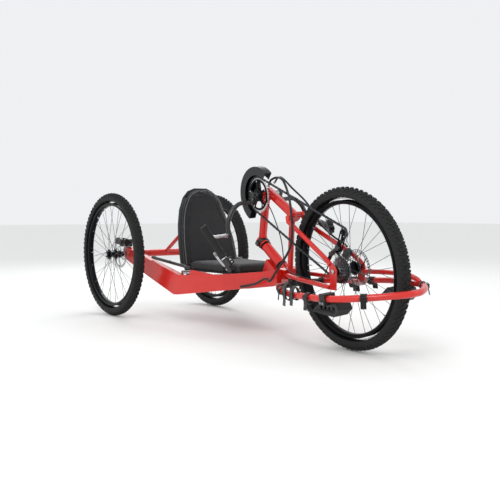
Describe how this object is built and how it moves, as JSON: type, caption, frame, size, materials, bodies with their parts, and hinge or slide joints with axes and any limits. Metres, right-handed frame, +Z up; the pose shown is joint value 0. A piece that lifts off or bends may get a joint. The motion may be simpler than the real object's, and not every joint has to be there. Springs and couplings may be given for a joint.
{
  "type": "hand-cranked recumbent tricycle",
  "caption": "Low off-road tricycle with a bucket seat behind a hand-cranked, chain-driven front wheel, two rear wheels and leg rails round the front wheel.",
  "frame": {"origin": "on the ground, at the middle of the overall length and width", "axes": "+X the way it travels, +Y to the rider's left, +Z up"},
  "size_m": [2.3424, 0.796, 0.8224],
  "materials": {
    "red_paint": "gloss powder coat",
    "black_alloy": "satin anodised",
    "tyre_rubber": "matt knobbed",
    "hose_rubber": "satin",
    "steel": "polished",
    "lever_alloy": "polished",
    "seat_cloth": "woven with piping",
    "black_plastic": "matt"
  },
  "bodies": {
    "frame": {"backrest_brace": "red_paint", "backrest_hinge_tube": "steel", "brake_hose_rear_half": "hose_rubber", "head_tube": "red_paint", "neck": "red_paint", "rear_caliper_left": "black_alloy", "rear_caliper_right": "black_alloy", "rear_cross_tube": "red_paint", "seat_cushion": "seat_cloth", "seat_pan": "black_plastic", "seat_strut_left": "black_alloy", "seat_strut_right": "black_alloy", "side_beam_left": "red_paint", "side_beam_right": "red_paint", "stub_axle_left": "steel", "stub_axle_right": "steel"},
    "backrest": {"backrest_pad": "seat_cloth", "backrest_shell": "black_plastic"},
    "fork": {"steering_pivot": "red_paint", "mast": "red_paint", "top_tube": "red_paint", "down_tube": "red_paint", "fork_blade_right": "red_paint", "fork_blade_left": "red_paint", "chainstay_right": "red_paint", "chainstay_left": "red_paint", "front_axle": "steel", "front_caliper": "black_alloy", "leg_rail": "red_paint", "rail_carrier": "black_alloy", "footrest_right": "black_plastic", "footrest_left": "black_plastic", "chain": "steel", "chain_guard": "black_plastic", "derailleur": "black_alloy", "brake_hose_front_half": "hose_rubber", "front_brake_hose": "hose_rubber", "shift_cable": "hose_rubber"},
    "front_wheel": {"front_tyre": "tyre_rubber", "front_rim": "black_alloy", "front_hub": "black_alloy", "front_rotor": "steel"},
    "cassette": {"cassette": "steel"},
    "crank": {"crank_arm_right": "black_alloy", "crank_arm_left": "black_alloy", "chainring": "steel"},
    "guide_pulley": {"guide_pulley": "black_plastic"},
    "tension_pulley": {"tension_pulley": "black_plastic"},
    "rear_wheel_right": {"rear_tyre_right": "tyre_rubber", "rear_rim_right": "black_alloy", "rear_hub_right": "black_alloy", "rear_rotor_right": "steel"},
    "handle_right": {"grip_right": "hose_rubber"},
    "lever_right": {"brake_lever_right": "lever_alloy"},
    "rear_wheel_left": {"rear_tyre_left": "tyre_rubber", "rear_rim_left": "black_alloy", "rear_hub_left": "black_alloy", "rear_rotor_left": "steel"},
    "handle_left": {"grip_left": "hose_rubber"},
    "lever_left": {"brake_lever_left": "lever_alloy"}
  },
  "joints": [
    {"name": "steering", "type": "hinge", "parent": "frame", "child": "fork", "pos_m": [0.22385, 0, 0.39], "axis": [-0.809, 0, 0.5878], "range_deg": [-15.6, 28.4]},
    {"name": "front_wheel_spin", "type": "hinge", "parent": "fork", "child": "front_wheel", "pos_m": [0.77276, -0.033, 0.35483], "axis": [0.0655, 0.9938, 0.0902], "continuous": true},
    {"name": "rear_wheel_right_spin", "type": "hinge", "parent": "frame", "child": "rear_wheel_right", "pos_m": [-0.81615, -0.3555, 0.355], "axis": [0, 1, 0], "continuous": true},
    {"name": "rear_wheel_left_spin", "type": "hinge", "parent": "frame", "child": "rear_wheel_left", "pos_m": [-0.81615, 0.3555, 0.355], "axis": [0, 1, 0], "continuous": true},
    {"name": "crank_turn", "type": "hinge", "parent": "fork", "child": "crank", "pos_m": [0.203, -0.02574, 0.68884], "axis": [0.0655, 0.9938, 0.0902], "continuous": true},
    {"name": "cassette_spin", "type": "hinge", "parent": "fork", "child": "cassette", "pos_m": [0.77276, -0.033, 0.35483], "axis": [0.0655, 0.9938, 0.0902], "continuous": true},
    {"name": "tension_pulley_spin", "type": "hinge", "parent": "fork", "child": "tension_pulley", "pos_m": [0.80708, -0.09745, 0.51344], "axis": [0.0655, 0.9938, 0.0902], "continuous": true},
    {"name": "guide_pulley_spin", "type": "hinge", "parent": "fork", "child": "guide_pulley", "pos_m": [0.77636, -0.08902, 0.44283], "axis": [0.0655, 0.9938, 0.0902], "continuous": true},
    {"name": "backrest_tilt", "type": "hinge", "parent": "frame", "child": "backrest", "pos_m": [-0.28615, 0, 0.279], "axis": [0, 1, 0], "range_deg": [0, 12]},
    {"name": "handle_right_turn", "type": "hinge", "parent": "crank", "child": "handle_right", "pos_m": [0.18145, -0.3445, 0.48018], "axis": [0.0655, 0.9938, 0.0902], "continuous": true},
    {"name": "lever_right_pull", "type": "hinge", "parent": "handle_right", "child": "lever_right", "pos_m": [0.20737, -0.26511, 0.33228], "axis": [-0.0579, 0.8838, 0.4643], "range_deg": [0, 10], "stiffness_Nm_per_rad": 0.5},
    {"name": "handle_left_turn", "type": "hinge", "parent": "crank", "child": "handle_left", "pos_m": [0.22561, 0.3253, 0.54096], "axis": [0.0655, 0.9938, 0.0902], "continuous": true},
    {"name": "lever_left_pull", "type": "hinge", "parent": "handle_left", "child": "lever_left", "pos_m": [0.37218, 0.25201, 0.49628], "axis": [0.4581, 0.8877, 0.0467], "range_deg": [0, 10], "stiffness_Nm_per_rad": 0.5}
  ],
  "couplings": [
    {"joint": "cassette_spin", "follows": "crank_turn", "ratio": 1.68},
    {"joint": "tension_pulley_spin", "follows": "crank_turn", "ratio": 3.8182},
    {"joint": "guide_pulley_spin", "follows": "crank_turn", "ratio": -3.8182}
  ]
}
